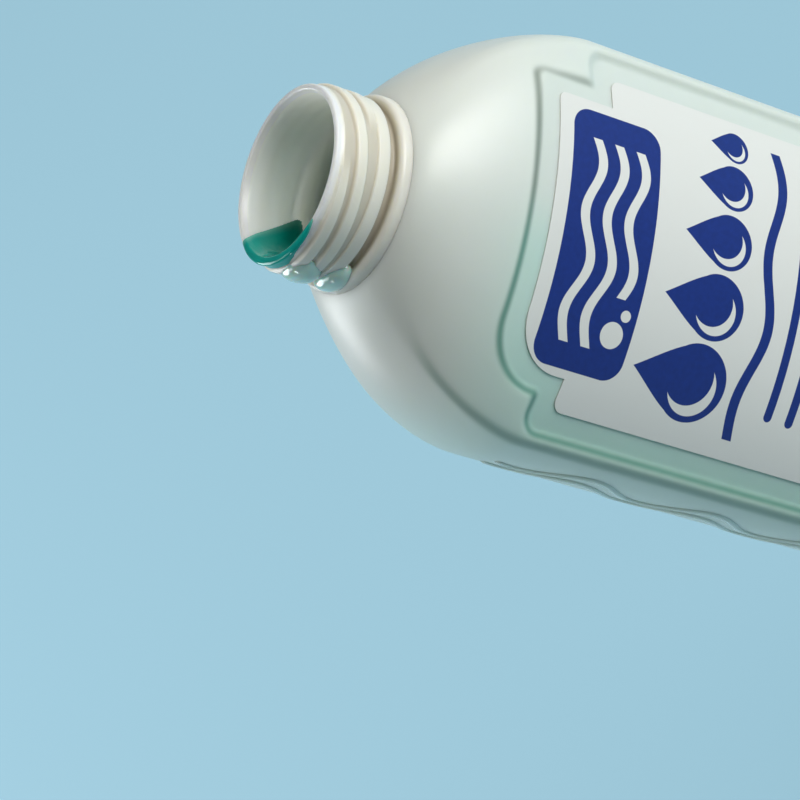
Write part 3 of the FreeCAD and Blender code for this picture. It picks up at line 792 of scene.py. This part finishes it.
def bore_finish():
    """The neck's inside, lit through its wall, with faint turned rings. Its colours are paler than the
    neck's outside: painted light for the light that comes through the wall, added to its subsurface
    scattering.
    """
    finish = Finish("MilkyBore")
    _, _, z = finish.place()
    clouds = finish.noise(16.0)
    deep = z.ramp(HEIGHT - 3, HEIGHT - 18)
    finish.feed("Base Color", finish.mix(PLASTIC_BORE_LIT, PLASTIC_BORE_DEEP_LIT, deep))
    rings = ((z + finish.noise(25.0, 1.0) * 1.5) * 2.1).do("SINE")
    finish.feed("Roughness", clouds * 0.12 + 0.26)
    finish.bump([(rings, 0.04), (finish.noise(0.6), 0.008)])
    finish.set(IOR=1.50, Subsurface_Weight=1.0, Subsurface_Scale=0.012)
    finish.set(Subsurface_Radius=(1.0, 1.0, 0.85))
    return finish.material


def residue_finish():
    """Detergent that clings to the plastic: pale where it is thin, teal where it is deep."""
    finish = Finish("DetergentResidue")
    deep = finish.value("thickness").ramp(0.1, 0.7)
    swirl = finish.noise(6.0)
    pooled = finish.mix(DETERGENT, DETERGENT_BRIGHT, swirl)
    finish.feed("Base Color", finish.mix(DETERGENT_THIN, pooled, deep))
    finish.bump([(swirl, 0.12)])
    finish.set(Roughness=0.05, IOR=1.36)
    return finish.material


def drop_finish():
    """A cloudy aqua drop."""
    finish = Finish("DetergentDrop")
    swirl = finish.noise(5.0)
    finish.feed("Base Color", finish.mix(DROP, DROP_DEEP, swirl))
    finish.bump([(swirl, 0.08)])
    finish.set(Roughness=0.10, IOR=1.40, Subsurface_Weight=0.6, Subsurface_Scale=0.002)
    finish.set(Coat_Weight=0.6, Coat_Roughness=0.04)
    return finish.material


def detergent_finish():
    """The liquid inside, with a still and glossy surface."""
    finish = Finish("TealDetergent")
    ripple = finish.noise(14.0, 1.0)
    finish.feed("Base Color", finish.mix(DETERGENT, DETERGENT_DEEP, ripple))
    finish.bump([(ripple, 0.05)])
    finish.set(Roughness=0.04, IOR=1.38, Coat_Weight=0.3)
    return finish.material


# The label's print: plain shapes only. A field is the distance to a shape's edge, less than 0 inside


def box_field(x, z, left, right, foot, top, radius):
    """A box with rounded corners."""
    across = (x - (left + right) / 2).size() - ((right - left) / 2 - radius)
    along = (z - (foot + top) / 2).size() - ((top - foot) / 2 - radius)
    outside = (across.most(0.0) * across.most(0.0) + along.most(0.0) * along.most(0.0)).do("SQRT")
    return outside + across.most(along).least(0.0) - radius


def disc_field(x, z, middle_x, middle_z, radius):
    """A round disc."""
    across = x - middle_x
    along = z - middle_z
    return (across * across + along * along).do("SQRT") - radius


def wave_field(x, z, left, right, middle_z, swing, length, width):
    """A wavy stroke that runs across the label."""
    course = (x * (2 * math.pi / length)).do("SINE") * swing
    stroke = (z - middle_z - course).size() - width / 2
    ends = (x - (left + right) / 2).size() - (right - left) / 2
    return stroke.most(ends)


def joined(fields):
    """All the shapes together."""
    result = fields[0]
    for field in fields[1:]:
        result = result.least(field)
    return result


# Print, in millimetres across the label and up from the base. Boxes: left, right, foot, top, corner

FIELD_BOX = (-28.6, 28.2, HEIGHT - 76.6, HEIGHT - 53.2, 4.5)

# Waves: left, right, middle height, swing, wave length, stroke width
FIELD_WAVES = (
    (-23, 22, HEIGHT - 59.6, 1.7, 22, 2.4),
    (-23, 22, HEIGHT - 65.4, 1.7, 22, 2.4),
    (-11, 22, HEIGHT - 71.2, 1.7, 22, 2.4),
)
SWELL = (-33, 33, HEIGHT - 109.3, 1.6, 33, 2.6)

# Bubbles and drops: middle, height and radius
FIELD_BUBBLES = ((-19.0, HEIGHT - 71.4, 2.9), (-14.3, HEIGHT - 73.6, 1.3))
DROPS = (
    (-23.5, HEIGHT - 95.5, 8.6),
    (-6.5, HEIGHT - 96.0, 7.4),
    (8.4, HEIGHT - 96.6, 6.3),
    (21.2, HEIGHT - 97.2, 5.2),
    (31.0, HEIGHT - 97.8, 3.6),
)
DROP_RISE = 1.9
GLINT_SIZE = 0.72

# Plain lines: left, right and height; then the pale band at the label's foot
LINES = ((-27, 12, HEIGHT - 117.5), (-27, 20, HEIGHT - 123.5), (-27, 4, HEIGHT - 129.5))
LINE_HALF = 1.1
FOOT_BAND = HEIGHT - 190
FOOT_BAND_LENGTH = 60
FOOT_BAND_SWING = 4.0


def drop_field(x, z, middle_x, middle_z, radius):
    """A falling drop: a disc that rises to a point, with a glint cut out of it."""
    disc = disc_field(x, z, middle_x, middle_z, radius)
    climb = (z - middle_z) * (1 / (radius * DROP_RISE))
    narrowing = climb.most(0.0).least(1.0) * (math.pi / 2)
    half_width = narrowing.do("COSINE") * radius
    tip = (x - middle_x).size() - half_width * (climb.least(1.0) * -0.25 + 1.0)
    tip = tip.most(-climb * radius).most((climb - 1.0) * radius)
    round_size = radius * GLINT_SIZE
    aside = radius * 0.12
    glint = disc_field(x, z, middle_x - aside, middle_z - radius * 0.02, round_size)
    hollow = disc_field(x, z, middle_x + aside, middle_z + radius * 0.14, round_size)
    return disc.least(tip).most(-glint.most(-hollow))


def label_finish():
    """White film with the print: ink a little glossier than the film, and slightly raised."""
    finish = Finish("PrintedFilm")
    x, _, z = finish.place()
    cut_out = [wave_field(x, z, *wave) for wave in FIELD_WAVES]
    cut_out += [disc_field(x, z, *bubble) for bubble in FIELD_BUBBLES]
    shapes = [box_field(x, z, *FIELD_BOX).most(-joined(cut_out)), wave_field(x, z, *SWELL)]
    shapes += [drop_field(x, z, *drop) for drop in DROPS]
    for left, right, middle in LINES:
        shapes.append(box_field(x, z, left, right, middle - LINE_HALF, middle + LINE_HALF, LINE_HALF))
    ink = joined(shapes).ramp(0.06, -0.06)
    band_course = (x * (2 * math.pi / FOOT_BAND_LENGTH)).do("SINE") * FOOT_BAND_SWING
    band = (z - FOOT_BAND - band_course).ramp(0.08, -0.08)
    paper = finish.mix(FILM, INK_PALE, band)
    mottle = finish.noise(1.3, 3.0)
    ink_colour = finish.mix(INK, INK_WORN, mottle)
    finish.feed("Base Color", finish.mix(paper, ink_colour, ink))
    finish.feed("Roughness", ink * -0.08 + 0.38)
    finish.bump([(mottle, 0.01), (ink, 0.012)])
    finish.set(IOR=1.48)
    return finish.material


# Pieces

raised = bottle_finish("MilkyRelief", 0.23)
bottle = [
    make_wave(f"bottle_wave_{number}", middle, raised)
    for number, middle in enumerate(WAVE_MIDDLES, 1)
]
bottle += [make_body(bottle_finish("MilkyPlastic", 0.0)), make_neck(neck_finish(), bore_finish())]
for piece in bottle:
    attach(piece, "root")
    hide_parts("bottle")

# Drops outside: name, angle, drop under the lip, half width, half height, how far it stands off
CLINGING = (
    ("detergent_drop_1", 187, 6.6, 5.6, 4.4, 2.3),
    ("detergent_drop_2", 190, 14.0, 6.2, 3.4, 2.4),
)
cloudy = drop_finish()
clinging = [make_drop(*sizes, cloudy) for sizes in CLINGING]
for piece in [make_film(residue_finish())] + clinging:
    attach(piece, "root")

# CAD nodes that keep their shape: name, material and slot
DRESSED = (
    ("detergent", detergent_finish(), "detergent_liquid"),
    ("front_label", label_finish(), "label_film"),
)
for name, material, slot in DRESSED:
    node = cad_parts[name]
    node.data.materials.clear()
    node.data.materials.append(material)


# Floor, light and camera

FLOOR_SIZE = 12.0
FLOOR_GLOW = 0.72
FLOOR_SHARE_SEEN = 0.4
AIM = (0.0, 0.0, 0.19)

# Softboxes: name, place, aim, width, height, power and colour
SOFTBOXES = (
    ("key", (0.93, -1.05, 0.28), AIM, 0.9, 0.9, 22.0, (1.0, 0.985, 0.955)),
    ("top", (0.06, 0.0, 1.50), (0.0, 0.0, 0.25), 0.5, 0.5, 2.3, (1.0, 1.0, 1.0)),
    ("rim", (-0.52, 1.14, 0.58), AIM, 0.5, 0.66, 6.5, (0.92, 0.97, 1.0)),
    ("side_strip", (-1.10, 0.40, 0.34), (-0.04, 0.0, 0.19), 0.05, 0.50, 1.3, (0.90, 0.97, 1.0)),
    ("pouring_side", (-0.74, 0.74, 0.92), (0.0, 0.0, 0.22), 0.4, 0.4, 1.8, (0.88, 0.96, 1.0)),
)
SKY = (0.92, 0.97, 0.96)
SKY_STRENGTH = 0.11

# The photograph's view: its right, down and forward directions, the camera's place, and its lens
CAMERA_RIGHT = Vector((0.18175, -0.52290, -0.83279))
CAMERA_DOWN = Vector((-0.97014, 0.04295, -0.23869))
CAMERA_AHEAD = Vector((0.16058, 0.85131, -0.49948))
CAMERA_PLACE = (-0.16310, -0.65045, 0.60572)
CAMERA_SENSOR = 36.0
CAMERA_LENS = 158.87


def add_floor():
    """A pale floor. Where it is seen it glows a little, so that it stays even and keeps its shadow."""
    finish = Finish("PaleFloor")
    seen = finish.seen_ray()
    shaded = tuple(value * 0.97 for value in FLOOR)
    dimmed = tuple(value * FLOOR_SHARE_SEEN for value in FLOOR)
    plain = finish.mix(FLOOR, shaded, finish.noise(300.0))
    finish.feed("Base Color", finish.mix(plain, dimmed, seen))
    finish.set(Roughness=0.9, Emission_Color=(*FLOOR, 1.0))
    finish.feed("Emission Strength", seen * FLOOR_GLOW)
    bpy.ops.mesh.primitive_plane_add(size=FLOOR_SIZE, location=(0, 0, 0))
    floor = bpy.context.object
    floor.name = "floor"
    floor.data.materials.append(finish.material)


def add_softbox(name, place, aim, width, height, power, colour):
    """A rectangular lamp that faces its aim."""
    data = bpy.data.lights.new(name, "AREA")
    data.shape = "RECTANGLE"
    data.size = width
    data.size_y = height
    data.energy = power
    data.color = colour
    light = bpy.data.objects.new(name, data)
    light.location = place
    light.rotation_euler = (Vector(aim) - Vector(place)).to_track_quat("-Z", "Y").to_euler()
    bpy.context.scene.collection.objects.link(light)


def add_sky():
    """An even, dim light from all round."""
    world = bpy.data.worlds.new("world")
    world.use_nodes = True
    background = world.node_tree.nodes["Background"]
    background.inputs["Color"].default_value = (*SKY, 1.0)
    background.inputs["Strength"].default_value = SKY_STRENGTH
    bpy.context.scene.world = world


def add_camera():
    """The bottle leans in the picture, its mouth to the left, because the camera is rolled."""
    turned = Matrix((CAMERA_RIGHT, -CAMERA_DOWN, -CAMERA_AHEAD)).transposed()
    data = bpy.data.cameras.new("camera")
    data.sensor_width = CAMERA_SENSOR
    data.lens = CAMERA_LENS
    data.clip_end = 50.0
    camera = bpy.data.objects.new("camera", data)
    camera.matrix_world = Matrix.Translation(CAMERA_PLACE) @ turned.to_4x4()
    bpy.context.scene.collection.objects.link(camera)
    bpy.context.scene.camera = camera


add_floor()
for softbox in SOFTBOXES:
    add_softbox(*softbox)
add_sky()
add_camera()
bpy.context.scene.view_settings.view_transform = "Standard"
